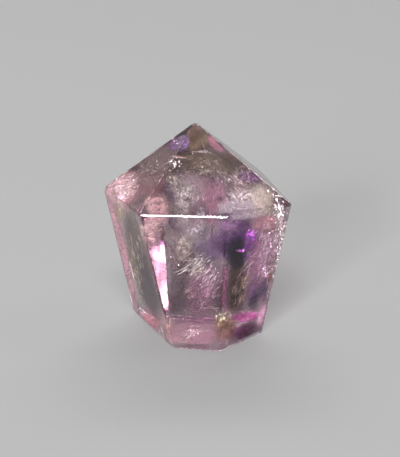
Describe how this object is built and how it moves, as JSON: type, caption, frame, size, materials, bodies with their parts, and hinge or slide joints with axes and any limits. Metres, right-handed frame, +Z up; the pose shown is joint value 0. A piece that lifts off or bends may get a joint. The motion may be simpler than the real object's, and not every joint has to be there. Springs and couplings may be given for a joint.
{
  "type": "amethyst point",
  "caption": "Free-standing polished amethyst point: a see-through purple quartz stone with flat faces that lean outward, a pointed tip and a flat base.",
  "frame": {"origin": "middle of the stone's bounding box, on the flat base it stands on", "axes": "+Z up towards the tip, -Y out of the front face, +X to the right as seen from the front"},
  "size_m": [0.052, 0.0464, 0.0589],
  "materials": {
    "amethyst": "clear polished quartz, pale pink to lilac, with a dark violet zone, white veils and iron-brown stains inside"
  },
  "bodies": {
    "root": {"amethyst_point": "amethyst"}
  },
  "joints": []
}
